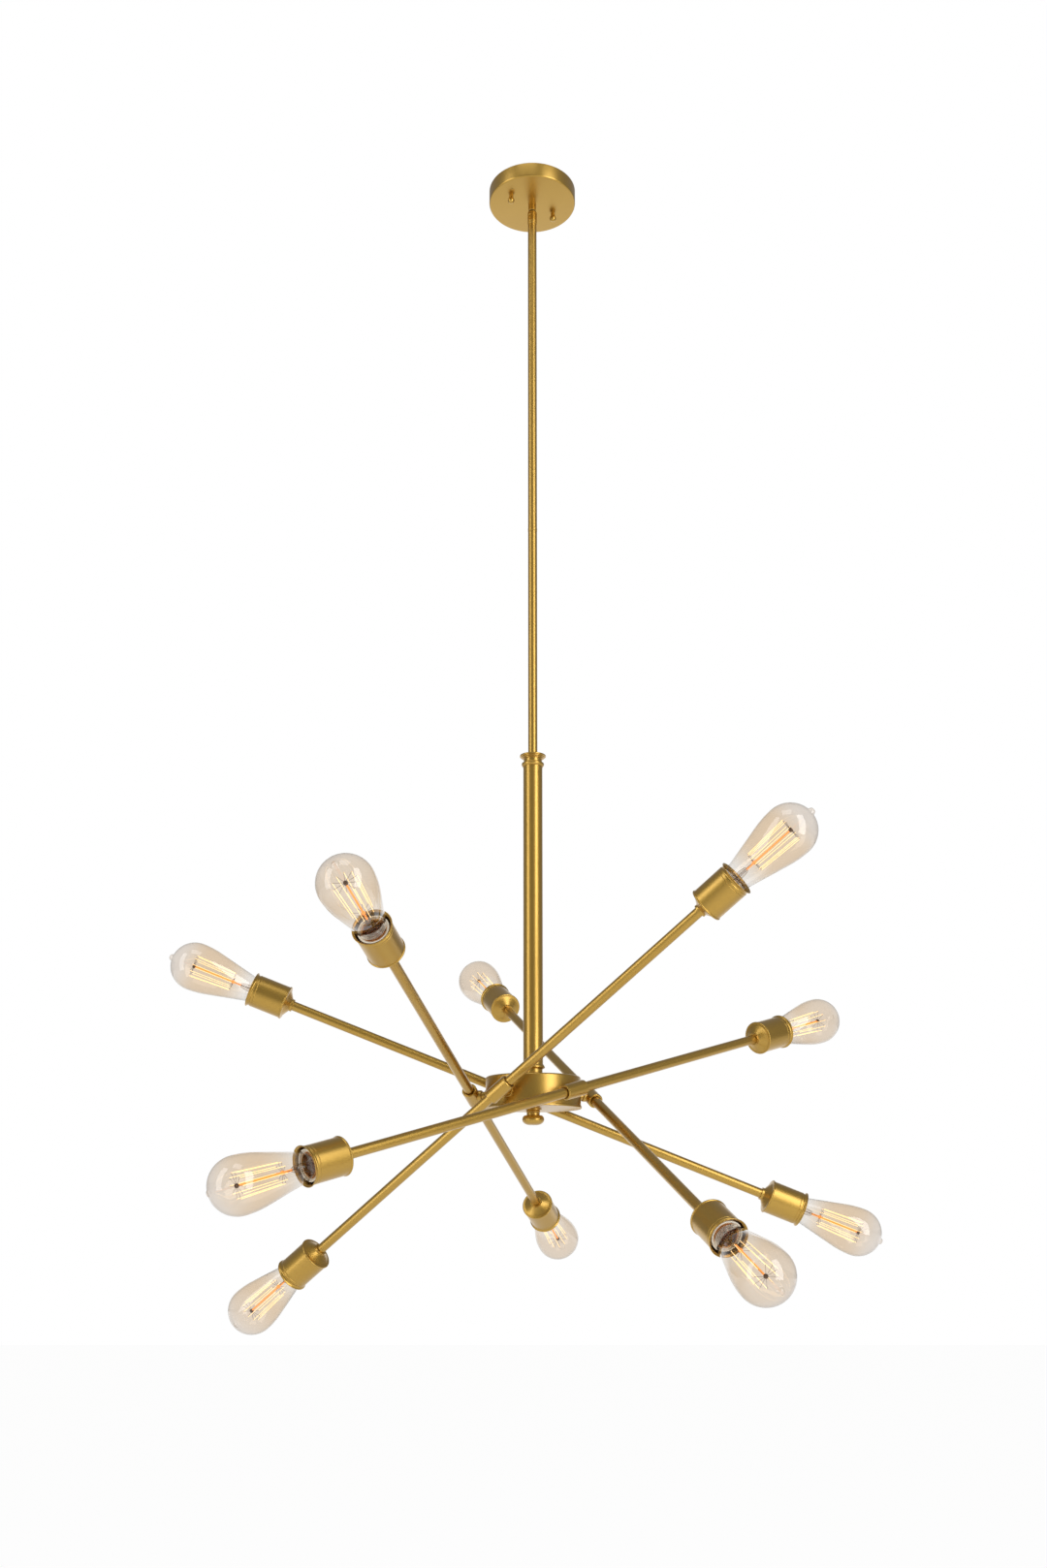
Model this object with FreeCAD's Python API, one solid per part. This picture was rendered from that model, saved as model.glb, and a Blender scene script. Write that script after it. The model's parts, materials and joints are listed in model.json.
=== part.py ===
import FreeCAD, Part
import math
import os

from FreeCAD import Placement, Rotation, Vector

# A ten-light chandelier: a canopy at the ceiling, a swivel, a thin two-piece
# stem, a thick column and a round hub. Five double-ended arms turn on necks
# round the hub, and each arm end has a socket cup with a teardrop bulb.
# Millimetres. The origin is the middle of the ceiling plane, +Z is up, and the
# front of the object looks along -Y.

# Fits, all measured on the radius
slip_gap = 0.05
running_gap = 0.05
screw_gap = 0.25
end_play = 0.2

# How far a cutting tool runs past the face that it opens
overrun = 1.0

# Ceiling canopy and its crossbar
canopy_diameter = 120.0
canopy_depth = 20.0
canopy_wall = 1.2
canopy_edge_radius = 2.0
bar_azimuth = 33.0
bar_length = 106.0
bar_width = 20.0
bar_thickness = 2.0
bar_wire_hole = 14.0
box_screw_circle_diameter = 88.9
box_screw_hole = 5.0
stud_circle_diameter = 70.0
stud_diameter = 4.0
stud_grip = 6.0
stud_nut_width = 7.0
stud_nut_height = 3.2
ball_nut_diameter = 9.1
ball_nut_neck_diameter = 5.8
ball_nut_height = 11.5
ground_screw_offset = 17.0
ground_screw_diameter = 3.5
ground_head_diameter = 7.5
ground_head_height = 2.4

# Swivel under the canopy
nipple_diameter = 8.0
nipple_bore = 5.0
nipple_thread = 5.0
nipple_thread_above = 1.5
canopy_locknut_width = 12.0
canopy_locknut_height = 3.0
collar_diameter = 11.0
collar_height = 10.5
collar_lip = 2.0
collar_chamfer = 0.4
turn_head_height = 1.8
turn_neck_diameter = 5.0
turn_bore = 3.0
swivel_gap = 1.5
swivel_ball_diameter = 9.0
swivel_shell_gap = 0.15
swivel_mouth_diameter = 8.2
housing_diameter = 13.1
housing_height = 16.0
housing_chamfer = 1.3
housing_bore = 4.6
pivot_depth = 4.9
pivot_azimuth = -125.0
pivot_screw_diameter = 2.4
pivot_screw_reach = 2.0
pivot_head_diameter = 4.4
pivot_head_height = 0.9
pivot_head_face = 3.1
foot_ring_height = 3.0
foot_ring_groove = 0.5
stem_spigot_length = 8.0

# Thin stem in two pieces with a coupler between them
stem_diameter = 12.0
stem_wall = 1.0
upper_stem_length = 455.0
lower_stem_length = 326.0
stem_insert = 12.0
coupler_band = 4.5
coupler_rim = 0.2
coupler_spigot = 10.0
coupler_bore = 7.0

# Thick column with the same turned end piece above and below
column_diameter = 25.0
column_wall = 1.2
column_length = 401.0
column_insert = 5.0
end_piece_height = 15.6
end_flange_diameter = 34.0
end_waist_diameter = 23.6
end_ring_diameter = 29.4
end_ring_width = 3.2
end_ring_offset = 1.6
end_flange_height = 2.0
end_step_height = 1.5
end_groove = 0.5
end_lip = 0.8
wire_bore = 8.0

# Hub drum
drum_diameter = 120.0
drum_above_arms = 22.0
drum_below_arms = 18.0
drum_wall = 1.5
drum_edge_radius = 2.5
cover_plate = 1.2
cover_lip_wall = 1.0
cover_lip_height = 3.2
cover_edge = 0.5
hub_nipple_diameter = 10.0
hub_nipple_bore = 6.5
hub_nipple_thread = 7.0
hub_locknut_width = 17.0
hub_locknut_height = 4.0
finial_height = 20.3
finial_flange_diameter = 21.4
finial_flange_height = 1.4
finial_waist_diameter = 16.4
finial_waist_end = 8.5
finial_groove = 0.9
finial_ring_diameter = 18.4
finial_ring_top = 3.4
finial_ring_width = 0.7
finial_shoulder_diameter = 21.9
finial_ball_diameter = 27.4
finial_ball_depth = 12.2
finial_belly_diameter = 23.3
finial_belly_depth = 17.9
finial_foot_diameter = 12.0

# Arms: azimuth of the neck round the hub and tilt of the arm, in degrees
arms = (("a", -121.0, 35.5), ("b", -51.5, 15.2), ("c", 95.0, 21.4),
        ("d", 164.3, 22.8), ("e", 21.9, 27.0))
arm_radius = 80.0
arm_reach = 340.0

# Arm barrel with its neck, which turns in a bush in the drum wall
barrel_diameter = 19.0
barrel_length = 32.0
barrel_recess_diameter = 14.4
barrel_recess_depth = 2.5
barrel_chamfer = 0.8
barrel_web = 8.0
neck_diameter = 10.0
neck_bore = 6.0
neck_ring_diameter = 13.8
neck_ring_width = 3.4
neck_ring_seat = 2.0
neck_taper = 1.2
neck_flare_diameter = 13.0
neck_flare_width = 1.0
bush_flange_diameter = 14.2
bush_flange_width = 2.6
bush_barrel_diameter = 12.0
bush_tail = 1.0

# Arm rods
rod_diameter = 12.4
rod_wall = 1.0

# Socket cups, measured from the plane of the base bead towards the mouth
cup_diameter = 42.6
cup_length = 48.4
cup_wall = 0.9
cup_bead_diameter = 44.6
cup_bead_width = 2.4
cup_lip_diameter = 46.0
cup_lip_width = 1.6
cup_cove_length = 3.2
cup_cove_depth = 0.7
cup_band_length = 3.2
cup_groove = 0.8
cup_edge = 0.4
cup_back_diameter = 35.0
cup_back_length = 6.5
cup_hub_diameter = 16.4
cup_hub_length = 3.0

# Lampholders inside the cups
holder_diameter = 36.0
holder_recess = 4.5
holder_rim_diameter = 31.0
holder_rim_depth = 2.4
holder_bore = 27.2
holder_floor = 17.0
holder_tail_length = 5.0
holder_wire_bore = 4.0

# Bulbs
bulb_diameter = 63.5
bulb_glass_length = 120.2
bulb_belly_radius = 117.0
bulb_shoulder_diameter = 33.2
bulb_shoulder_height = 5.9
bulb_glass_wall = 0.9
bulb_nipple_diameter = 9.0
bulb_nipple_height = 4.0
bulb_nipple_root = 1.5
bulb_nipple_step = 0.8
bulb_nipple_shoulder = 0.6
bulb_nipple_end_diameter = 2.7
cap_diameter = 26.2
cap_length = 24.0
cap_tip_diameter = 9.0
cap_tip_height = 1.5
cap_wall = 0.6
cap_overlap = 3.0

# Filament mounts inside the bulbs
mount_tube_diameter = 9.0
mount_tube_length = 24.0
mount_flare_length = 9.0
mount_rod_diameter = 3.0
mount_rod_length = 68.0
mount_hub_diameter = 5.0
mount_hub_height = 3.0
cage_strands = 10
cage_strand_width = 0.9
cage_start = 2.0
cage_hook_drop = 6.0
cage_lower_radius = 11.5
cage_upper_radius = 14.5

# Heights that follow, measured from the ceiling plane
canopy_floor = -canopy_depth
collar_end = canopy_floor - collar_height
housing_top = collar_end - swivel_gap
pivot_height = housing_top - pivot_depth
upper_stem_top = housing_top - housing_height - foot_ring_height
coupler_top = upper_stem_top - upper_stem_length
lower_stem_top = coupler_top - coupler_band
column_top = lower_stem_top - lower_stem_length + stem_insert
column_span = column_length + 2 * (end_piece_height - column_insert)
drum_top = column_top - column_span
arm_height = drum_top - drum_above_arms
drum_base = arm_height - drum_below_arms
tube_bore = stem_diameter - 2 * stem_wall
rod_bore = rod_diameter - 2 * rod_wall

up = Vector(0, 0, 1)


def turned(start, *path):
    """Solid of revolution about Z from (radius, height) points. A pair of
    points in the path is an arc: through the first, ending at the second."""
    edges = []
    last = Vector(start[0], 0, start[1])
    for step in path + (start,):
        arc = isinstance(step[0], tuple)
        point = step[1] if arc else step
        end = Vector(point[0], 0, point[1])
        if arc:
            middle = Vector(step[0][0], 0, step[0][1])
            edges.append(Part.Arc(last, middle, end).toShape())
        elif last.distanceToPoint(end) > 1e-7:
            edges.append(Part.makeLine(last, end))
        last = end
    face = Part.Face(Part.Wire(edges))
    return face.revolve(Vector(0, 0, 0), up, 360)


def rod(diameter, low, high):
    """Round bar along Z."""
    return Part.makeCylinder(diameter / 2, high - low, Vector(0, 0, low), up)


def tube(outer, inner, low, high):
    """Round tube along Z."""
    return rod(outer, low, high).cut(rod(inner, low - overrun, high + overrun))


def hexagon(width, low, high):
    """Hexagonal bar along Z, by its width across flats."""
    corner = width / math.sqrt(3)
    turns = [math.radians(60 * i) for i in range(7)]
    points = [Vector(corner * math.cos(a), corner * math.sin(a), low) for a in turns]
    return Part.Face(Part.makePolygon(points)).extrude(Vector(0, 0, high - low))


def polar(radius, azimuth, height=0.0):
    """Point at a radius and azimuth about the Z axis."""
    angle = math.radians(azimuth)
    return Vector(radius * math.cos(angle), radius * math.sin(angle), height)


def moved(shape, place):
    """Copy of a shape, carried by a placement."""
    copy = shape.copy()
    copy.Placement = place.multiply(copy.Placement)
    return copy


def lifted(shape, height):
    """Copy of a shape, moved along Z."""
    return moved(shape, Placement(Vector(0, 0, height), Rotation()))


def pair_round(shape, circle, azimuth):
    """Two copies on opposite sides of a circle."""
    spots = [polar(circle / 2, azimuth + half_turn) for half_turn in (0, 180)]
    return [moved(shape, Placement(spot, Rotation())) for spot in spots]


def along_bar(shape):
    """Copy of a shape made along X, turned to the crossbar's azimuth."""
    return moved(shape, Placement(Vector(0, 0, 0), Rotation(up, bar_azimuth)))


# Ceiling side

def crossbar():
    """Flat bar against the ceiling box, with holes for the box screws, the
    studs, the ground screw and the wires."""
    corner = Vector(-bar_length / 2, -bar_width / 2, -bar_thickness)
    bar = along_bar(Part.makeBox(bar_length, bar_width, bar_thickness, corner))
    low = -bar_thickness - overrun
    holes = [rod(bar_wire_hole, low, overrun)]
    holes += pair_round(rod(box_screw_hole, low, overrun), box_screw_circle_diameter, bar_azimuth)
    stud_hole = rod(stud_diameter + 2 * slip_gap, low, overrun)
    holes += pair_round(stud_hole, stud_circle_diameter, bar_azimuth)
    ground_hole = rod(ground_screw_diameter + 2 * slip_gap, low, overrun)
    spot = polar(ground_screw_offset, bar_azimuth)
    holes.append(moved(ground_hole, Placement(spot, Rotation())))
    return bar.cut(Part.makeCompound(holes))


def studs():
    """Two threaded studs that hang from the bar and carry the canopy."""
    stud = rod(stud_diameter, canopy_floor - stud_grip, 0)
    return pair_round(stud, stud_circle_diameter, bar_azimuth)


def stud_nuts():
    """Hexagon nuts that lock the studs under the bar."""
    low = -bar_thickness - stud_nut_height
    nut = hexagon(stud_nut_width, low, -bar_thickness)
    nut = nut.cut(rod(stud_diameter + 2 * slip_gap, low - overrun, 0))
    return pair_round(nut, stud_circle_diameter, bar_azimuth)


def ground_screw():
    """Pan-head earth screw in the bar, head down."""
    head = ground_head_diameter / 2
    shank = ground_screw_diameter / 2
    seat = -bar_thickness
    low = seat - ground_head_height
    rim = seat - ground_head_height / 2
    screw = turned((0, 0), (shank, 0), (shank, seat), (head, seat), (head, rim),
                   (head / 2, low), (0, low))
    return moved(screw, Placement(polar(ground_screw_offset, bar_azimuth), Rotation()))


def canopy():
    """Shallow spun cup, open to the ceiling."""
    radius = canopy_diameter / 2
    inner = radius - canopy_wall
    edge = canopy_edge_radius
    bend = edge * (1 - math.sqrt(0.5))
    hole = nipple_diameter / 2 + screw_gap
    floor_top = canopy_floor + canopy_wall
    cup = turned((hole, canopy_floor), (radius - edge, canopy_floor),
                 ((radius - bend, canopy_floor + bend), (radius, canopy_floor + edge)),
                 (radius, 0), (inner, 0), (inner, floor_top), (hole, floor_top))
    stud_hole = rod(stud_diameter + 2 * screw_gap, canopy_floor - overrun, floor_top + overrun)
    return cup.cut(Part.makeCompound(pair_round(stud_hole, stud_circle_diameter, bar_azimuth)))


def ball_nuts():
    """Ball nuts that hold the canopy up on the studs."""
    ball = ball_nut_diameter / 2
    neck = ball_nut_neck_diameter / 2
    centre = canopy_floor - ball_nut_height + ball
    joint = centre + math.sqrt(ball ** 2 - neck ** 2)
    blind = canopy_floor - stud_grip - end_play
    bore = stud_diameter / 2 + slip_gap
    nut = turned((0, centre - ball), ((ball, centre), (neck, joint)), (neck, canopy_floor),
                 (bore, canopy_floor), (bore, blind), (0, blind))
    return pair_round(nut, stud_circle_diameter, bar_azimuth)


def canopy_nipple():
    """Hollow threaded nipple through the canopy floor."""
    top = canopy_floor + canopy_wall + canopy_locknut_height + nipple_thread_above
    return tube(nipple_diameter, nipple_bore, canopy_floor - nipple_thread, top)


def canopy_locknut():
    """Hexagon nut on the nipple, inside the canopy."""
    low = canopy_floor + canopy_wall
    high = low + canopy_locknut_height
    bore = rod(nipple_diameter + 2 * slip_gap, low - overrun, high + overrun)
    return hexagon(canopy_locknut_width, low, high).cut(bore)


def swivel_collar():
    """Collar on the nipple. The swivel's head turns on its lip."""
    radius = collar_diameter / 2
    bore = nipple_diameter / 2 + slip_gap
    mouth = turn_neck_diameter / 2 + running_gap
    edge = collar_chamfer
    return turned((mouth, collar_end), (radius - edge, collar_end), (radius, collar_end + edge),
                  (radius, canopy_floor), (bore, canopy_floor), (bore, collar_end + collar_lip),
                  (mouth, collar_end + collar_lip))


def swivel_ball():
    """Head, neck and ball in one, bored for the wires, with a blind hole on
    each side for the pivot screws."""
    head = nipple_diameter / 2 - running_gap
    neck = turn_neck_diameter / 2
    bore = turn_bore / 2
    ball = swivel_ball_diameter / 2
    seat = collar_end + collar_lip + end_play / 2
    joint = pivot_height + math.sqrt(ball ** 2 - neck ** 2)
    foot = pivot_height - math.sqrt(ball ** 2 - bore ** 2)
    body = turned((bore, foot), ((ball, pivot_height), (neck, joint)), (neck, seat), (head, seat),
                  (head, seat + turn_head_height), (bore, seat + turn_head_height))
    tip = pivot_screw_diameter / 2 + running_gap
    depth = pivot_screw_reach + end_play
    for side in (0, 180):
        inward = polar(-1, pivot_azimuth + side)
        start = polar(ball + overrun, pivot_azimuth + side, pivot_height)
        body = body.cut(Part.makeCylinder(tip, depth + overrun, start, inward))
    return body


def swivel_housing():
    """Round housing over the ball, with a ring at its foot and a spigot in
    the stem."""
    radius = housing_diameter / 2
    shell = swivel_ball_diameter / 2 + swivel_shell_gap
    ring_top = housing_top - housing_height
    groove = foot_ring_groove
    spigot = tube_bore / 2 - slip_gap
    spigot_end = upper_stem_top - stem_spigot_length
    body = turned((0, spigot_end), (spigot, spigot_end), (spigot, upper_stem_top),
                  (radius - groove, upper_stem_top), (radius, upper_stem_top + groove),
                  (radius, ring_top - groove), (radius - groove, ring_top),
                  (radius, ring_top + groove), (radius, housing_top - housing_chamfer),
                  (radius - housing_chamfer, housing_top), (0, housing_top))
    body = body.cut(Part.makeSphere(shell, Vector(0, 0, pivot_height)))
    body = body.cut(rod(swivel_mouth_diameter, pivot_height, housing_top + overrun))
    body = body.cut(rod(housing_bore, spigot_end - overrun, pivot_height))
    screw = pivot_screw_diameter / 2 + slip_gap
    for side in (0, 180):
        outward = polar(1, pivot_azimuth + side)
        start = Vector(0, 0, pivot_height)
        body = body.cut(Part.makeCylinder(screw, radius + overrun, start, outward))
    return body


def pivot_screws():
    """Two short screws through the housing into the sides of the ball."""
    shank = pivot_screw_diameter / 2
    head = pivot_head_diameter / 2
    tip = swivel_ball_diameter / 2 - pivot_screw_reach
    wall = housing_diameter / 2
    seat = wall - pivot_head_height
    crown = wall + pivot_head_height
    screw = turned((0, tip), (shank, tip), (shank, seat), (head, seat),
                   (head, wall + pivot_head_height / 2), (pivot_head_face / 2, crown), (0, crown))
    body = rod(housing_diameter, housing_top - housing_height, housing_top)
    screws = []
    for side in (0, 180):
        outward = polar(1, pivot_azimuth + side)
        start = Vector(0, 0, pivot_height)
        piece = moved(screw, Placement(start, Rotation(up, outward)))
        way = Part.makeCylinder(shank, wall + overrun, start, outward)
        screws.append(piece.cut(body.cut(way)))
    return screws


# Stem and column

def upper_stem():
    """Upper tube of the thin stem."""
    return tube(stem_diameter, tube_bore, coupler_top, upper_stem_top)


def stem_coupler():
    """Band between the two stem tubes, with a spigot in each."""
    band = stem_diameter / 2 + coupler_rim
    spigot = tube_bore / 2 - slip_gap
    bore = coupler_bore / 2
    low = lower_stem_top - coupler_spigot
    high = coupler_top + coupler_spigot
    return turned((bore, low), (spigot, low), (spigot, lower_stem_top),
                  (band - coupler_rim, lower_stem_top), (band, lower_stem_top + coupler_rim),
                  (band, coupler_top - coupler_rim), (band - coupler_rim, coupler_top),
                  (spigot, coupler_top), (spigot, high), (bore, high))


def lower_stem():
    """Lower tube of the thin stem, down into the column's upper end piece."""
    return tube(stem_diameter, tube_bore, lower_stem_top - lower_stem_length, lower_stem_top)


def column_end(bore, bore_depth):
    """Turned end piece of the column, flange up: a stepped flange, a waist
    and a rounded ring, with a recess for the column tube. Its bore takes the
    stem or the hub's nipple to a depth, and the wires below that."""
    flange = end_flange_diameter / 2
    waist = end_waist_diameter / 2
    ring = end_ring_diameter / 2
    step = (flange - waist) / 3
    cut = end_groove
    foot = -end_piece_height
    recess = column_diameter / 2 + slip_gap
    recess_top = foot + column_insert
    flange_end = -end_flange_height
    first_end = flange_end - end_step_height
    second_end = first_end - end_step_height
    ring_low = foot + end_ring_offset
    ring_high = ring_low + end_ring_width
    waist_low = ring_high + 2 * cut
    return turned(
        (bore, 0), (flange - cut, 0), (flange, -cut), (flange, flange_end),
        (flange - step, flange_end - cut), (flange - step, first_end),
        (flange - 2 * step, first_end - cut), (flange - 2 * step, second_end),
        (waist, second_end - cut), (waist, waist_low), (ring - cut, ring_high),
        ((ring, (ring_low + ring_high) / 2), (ring - cut, ring_low)),
        (recess + end_lip, foot), (recess, foot), (recess, recess_top),
        (wire_bore / 2, recess_top), (wire_bore / 2, -bore_depth), (bore, -bore_depth))


def column_cap():
    """Upper end piece, which takes the stem."""
    piece = column_end(stem_diameter / 2 + slip_gap, stem_insert)
    return lifted(piece, column_top)


def column_foot():
    """Lower end piece: the same turning upside down on the drum."""
    piece = column_end(hub_nipple_diameter / 2 + slip_gap, hub_nipple_thread + end_play)
    flip = Placement(Vector(0, 0, drum_top), Rotation(Vector(1, 0, 0), 180))
    return moved(piece, flip)


def column_tube():
    """Thick tube between the two end pieces."""
    high = column_top - end_piece_height + column_insert
    return tube(column_diameter, column_diameter - 2 * column_wall, high - column_length, high)


# Hub

def neck_line(diameter, near, far, azimuth):
    """Round bar along a neck's axis, between two radii."""
    return Part.makeCylinder(diameter / 2, far - near, polar(near, azimuth, arm_height),
                             polar(1, azimuth))


def drum_can():
    """Can of the hub: top and side wall, with a hole for each neck's bush."""
    radius = drum_diameter / 2
    inner = radius - drum_wall
    edge = drum_edge_radius
    bend = edge * (1 - math.sqrt(0.5))
    low = drum_base + cover_plate
    under_top = drum_top - drum_wall
    hole = hub_nipple_diameter / 2 + slip_gap
    can = turned((hole, under_top), (inner, under_top), (inner, low), (radius, low),
                 (radius, drum_top - edge),
                 ((radius - bend, drum_top - bend), (radius - edge, drum_top)), (hole, drum_top))
    bush_hole = bush_barrel_diameter + 2 * slip_gap
    for _, azimuth, _ in arms:
        can = can.cut(neck_line(bush_hole, inner - overrun, radius + overrun, azimuth))
    return can


def drum_cover():
    """Bottom cover: a plate with a lip that turns up over the can."""
    inner = drum_diameter / 2 + slip_gap
    radius = inner + cover_lip_wall
    lip_top = drum_base + cover_lip_height
    edge = cover_edge
    hole = hub_nipple_diameter / 2 + slip_gap
    return turned((hole, drum_base), (radius - edge, drum_base), (radius, drum_base + edge),
                  (radius, lip_top - edge), (radius - edge, lip_top), (inner, lip_top),
                  (inner, drum_base + cover_plate), (hole, drum_base + cover_plate))


def hub_nipple():
    """Hollow nipple from the column's foot through the drum to the finial."""
    return tube(hub_nipple_diameter, hub_nipple_bore, drum_base - hub_nipple_thread,
                drum_top + hub_nipple_thread)


def hub_locknut():
    """Hexagon nut on the nipple, under the drum's top."""
    high = drum_top - drum_wall
    low = high - hub_locknut_height
    bore = rod(hub_nipple_diameter + 2 * slip_gap, low - overrun, high + overrun)
    return hexagon(hub_locknut_width, low, high).cut(bore)


def finial():
    """Turned mushroom finial that holds the cover on the nipple."""
    flange = finial_flange_diameter / 2
    ring = finial_ring_diameter / 2
    waist = finial_waist_diameter / 2
    ball = finial_ball_diameter / 2
    foot = finial_foot_diameter / 2
    bore = hub_nipple_diameter / 2 + slip_gap
    blind = -hub_nipple_thread - end_play
    flange_low = -finial_flange_height
    piece = turned(
        (bore, 0), (flange, 0), (flange, flange_low), (waist, flange_low - finial_groove),
        (ring, -finial_ring_top), (ring, -finial_ring_top - finial_ring_width),
        (waist, -finial_waist_end), (finial_shoulder_diameter / 2, -finial_waist_end),
        ((ball, -finial_ball_depth), (finial_belly_diameter / 2, -finial_belly_depth)),
        (foot, -finial_height), (0, -finial_height), (0, blind), (bore, blind))
    return lifted(piece, drum_base)


def neck_bushes():
    """Flanged bushes through the drum wall, one for each neck."""
    wall = drum_diameter / 2
    start = wall - drum_wall - bush_tail
    flange_end = wall + bush_flange_width
    drum_body = rod(drum_diameter, drum_base, drum_top)
    bore = neck_diameter + 2 * running_gap
    bushes = []
    for _, azimuth, _ in arms:
        flange = neck_line(bush_flange_diameter, start, flange_end, azimuth).cut(drum_body)
        bush = flange.fuse(neck_line(bush_barrel_diameter, start, flange_end, azimuth))
        bore_line = neck_line(bore, start - overrun, flange_end + overrun, azimuth)
        bushes.append(bush.cut(bore_line).removeSplitter())
    return bushes


# Arms. Each piece is made along Z from the neck's axis, with the neck towards
# -X, and is then laid along the arm.

def arm_place(azimuth, tilt, far_end):
    """Placement that lays a piece along one end of an arm."""
    outward = polar(1, azimuth)
    along = polar(1, azimuth + 90) * math.cos(math.radians(tilt))
    along = along + up * math.sin(math.radians(tilt))
    if far_end:
        along = along * -1
    turn = Rotation(outward, along.cross(outward), along, "ZXY")
    return Placement(polar(arm_radius, azimuth, arm_height), turn)


def on_ends(shape, azimuth, tilt):
    """The two copies of a piece, one at each end of an arm."""
    return [moved(shape, arm_place(azimuth, tilt, far_end)) for far_end in (False, True)]


def arm_barrel():
    """Barrel with a recess in each end and its hollow neck, flared over
    inside the drum."""
    radius = barrel_diameter / 2
    half = barrel_length / 2
    cut = barrel_chamfer
    barrel = turned((0, -half), (radius - cut, -half), (radius, cut - half),
                    (radius, half - cut), (radius - cut, half), (0, half))
    inner_wall = drum_diameter / 2 - drum_wall - bush_tail
    flare_end = arm_radius - inner_wall + end_play + neck_flare_width
    ring_start = radius - neck_ring_seat
    ring_end = radius + neck_ring_width
    neck = neck_diameter / 2
    ring = neck_ring_diameter / 2
    flare = neck_flare_diameter / 2
    spindle = turned((0, 0), (neck, 0), (neck, ring_start), (ring, ring_start),
                     (ring, ring_end - neck_taper), (neck, ring_end),
                     (neck, flare_end - neck_flare_width), (flare, flare_end - neck_flare_width),
                     (flare, flare_end), (0, flare_end))
    inward = Placement(Vector(0, 0, 0), Rotation(Vector(0, 1, 0), -90))
    body = barrel.fuse(moved(spindle, inward))
    body = body.cut(rod(rod_bore, -half, half))
    end = half + overrun
    for diameter, start in ((rod_diameter + 2 * slip_gap, barrel_web / 2),
                            (barrel_recess_diameter, half - barrel_recess_depth)):
        body = body.cut(rod(diameter, start, end)).cut(rod(diameter, -end, -start))
    wire_way = Part.makeCylinder(neck_bore / 2, flare_end + overrun, Vector(0, 0, 0), Vector(-1, 0, 0))
    return body.cut(wire_way).removeSplitter()


def arm_rod():
    """Tube from the barrel to the cup's hub."""
    end = arm_reach - cup_back_length + cup_wall
    return tube(rod_diameter, rod_bore, barrel_web / 2, end)


def cup():
    """Spun socket cup: hub and cone behind, a bead at the base, and a groove,
    a band, a cove and a lip at the mouth."""
    radius = cup_diameter / 2
    bead = cup_bead_diameter / 2
    mouth = cup_lip_diameter / 2
    back = cup_back_diameter / 2
    hub = cup_hub_diameter / 2
    bore = rod_diameter / 2 + slip_gap
    wall = cup_wall
    cone_end = -cup_back_length
    lip = cup_length - cup_lip_width
    cove = lip - cup_cove_length
    band = cove - cup_band_length
    groove = band - cup_groove
    inside = radius - wall
    cone_inside = cone_end + wall
    shape = turned(
        (bore, cone_end - cup_hub_length), (hub, cone_end - cup_hub_length), (hub, cone_end),
        (back, 0), (bead, cup_edge), (bead, cup_bead_width - cup_edge), (radius, cup_bead_width),
        (radius, groove), (radius - cup_groove / 2, (groove + band) / 2), (radius, band),
        (radius, cove), (radius - cup_cove_depth, (cove + lip) / 2),
        (mouth, lip), (mouth, cup_length), (inside, cup_length), (inside, wall),
        (back - wall, wall), (hub, cone_inside), (bore, cone_inside))
    return lifted(shape, arm_reach)


def holder():
    """Lampholder body: an open-topped cylinder with a stepped rim, seated in
    the cup with its tail in the rod."""
    radius = holder_diameter / 2
    rim = holder_rim_diameter / 2
    bore = holder_bore / 2
    tail = rod_bore / 2 - slip_gap
    wire = holder_wire_bore / 2
    top = cup_length - holder_recess
    step = top - holder_rim_depth
    tail_end = cup_wall - cup_back_length - holder_tail_length
    shape = turned((wire, tail_end), (tail, tail_end), (tail, cup_wall), (radius, cup_wall),
                   (radius, top), (rim, top), (rim, step), (bore, step), (bore, holder_floor),
                   (wire, holder_floor))
    return lifted(shape, arm_reach)


def cap_base():
    """Distance from the cup's base plane to the underside of a bulb's cap."""
    return holder_floor + cap_tip_height


def glass_base():
    """Distance from the cup's base plane to the lower edge of the glass."""
    return cap_base() + cap_length - cap_overlap


def bulb_cap():
    """Hollow screw cap with its contact at the bottom."""
    radius = cap_diameter / 2
    tip = cap_tip_diameter / 2
    inner = radius - cap_wall
    low = cap_base()
    shape = turned((0, low - cap_tip_height), (tip, low - cap_tip_height), (tip, low), (radius, low),
                   (radius, low + cap_length), (inner, low + cap_length), (inner, low + cap_wall),
                   (0, low + cap_wall))
    return lifted(shape, arm_reach)


def glass_neck():
    """Outer radius of the glass where it is cemented into the cap."""
    return cap_diameter / 2 - cap_wall - slip_gap


def glass_outline(inset):
    """Points of the teardrop outline, inset by the wall: neck, shoulder, a
    straight flank that runs tangent into the belly's arc, the middle of that
    arc, and the widest ring, where the round dome starts."""
    widest = bulb_diameter / 2
    ring_height = bulb_glass_length - widest
    shoulder = bulb_shoulder_diameter / 2
    shoulder_height = cap_overlap + bulb_shoulder_height
    centre = widest - bulb_belly_radius
    reach = math.hypot(centre - shoulder, ring_height - shoulder_height)
    lean = math.atan2(centre - shoulder, ring_height - shoulder_height)
    flank = lean + math.asin(bulb_belly_radius / reach)
    belly = bulb_belly_radius - inset

    def on_belly(angle):
        return (centre + belly * math.cos(angle), ring_height - belly * math.sin(angle))

    neck = glass_neck() - inset
    start = (shoulder - inset * math.cos(flank), shoulder_height + inset * math.sin(flank))
    return [(neck, 0), (neck, cap_overlap), start, on_belly(flank),
            on_belly(flank / 2), (widest - inset, ring_height)]


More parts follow.
